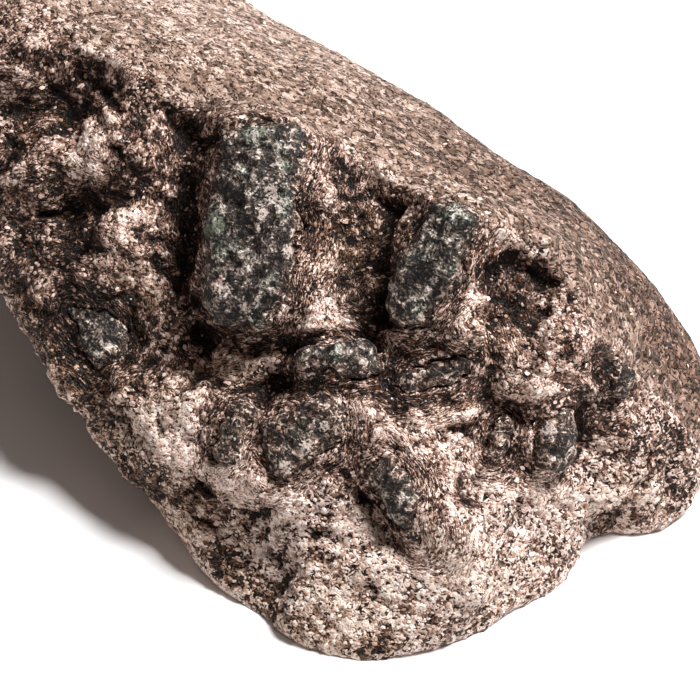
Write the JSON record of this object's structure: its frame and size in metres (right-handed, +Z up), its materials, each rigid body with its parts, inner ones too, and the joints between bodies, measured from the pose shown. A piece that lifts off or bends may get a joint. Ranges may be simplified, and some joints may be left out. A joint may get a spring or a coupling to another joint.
{
  "type": "alexandrite specimen",
  "caption": "Rough alexandrite specimen: a water-worn mica schist lump with stubby dark alexandrite crystals set in its broken front face, lying on a flat spot.",
  "frame": {"origin": "middle of the specimen's footprint, on the surface it lies on", "axes": "+X along the specimen's crest, towards its low end; +Y away from its crystal-set front face; +Z up, as it lies"},
  "size_m": [0.1005, 0.0557, 0.0406],
  "materials": {
    "mica_schist": "rough, flaky and salt-and-pepper speckled, worn smooth on the back",
    "alexandrite": "dark, worn and pitted, with a dull glassy sheen"
  },
  "bodies": {
    "root": {"schist_matrix": "mica_schist", "crystal_block": "alexandrite", "crystal_dome": "alexandrite", "crystal_bar": "alexandrite", "crystal_left": "alexandrite", "crystal_cluster": "alexandrite", "crystal_ledge": "alexandrite", "crystal_middle": "alexandrite", "crystal_low_left": "alexandrite", "crystal_right": "alexandrite", "crystal_shoulder": "alexandrite", "crystal_pea": "alexandrite"}
  },
  "joints": []
}
